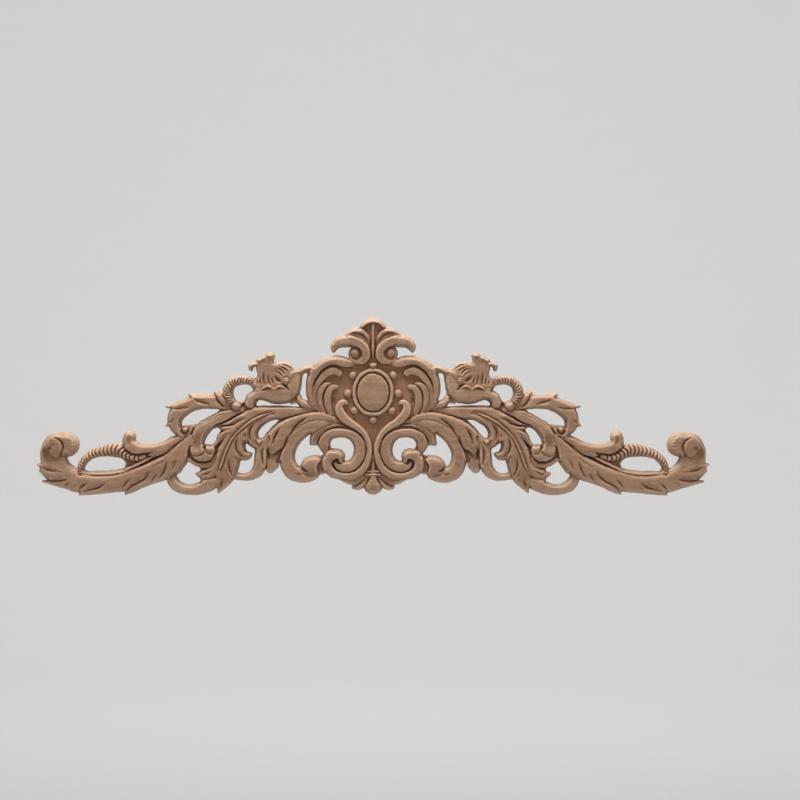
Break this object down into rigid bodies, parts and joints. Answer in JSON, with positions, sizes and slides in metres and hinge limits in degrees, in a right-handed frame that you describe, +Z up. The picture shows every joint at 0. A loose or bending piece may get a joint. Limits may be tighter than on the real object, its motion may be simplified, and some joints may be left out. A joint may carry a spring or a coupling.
{
  "type": "carved wood applique",
  "caption": "Long pierced wood applique carved with scrolls, acanthus leaves, ribbed bands and a domed oval jewel, flat behind for fixing to furniture or a wall.",
  "frame": {"origin": "on the flat back, behind the middle of the oval jewel", "axes": "+X along the ornament to its right tip, +Z up it, -Y is the carved front and +Y the flat back"},
  "size_m": [0.5, 0.0138, 0.132],
  "materials": {
    "carved_wood": "bare, finely carved and lightly sanded"
  },
  "bodies": {
    "root": {"carved_applique": "carved_wood"}
  },
  "joints": []
}
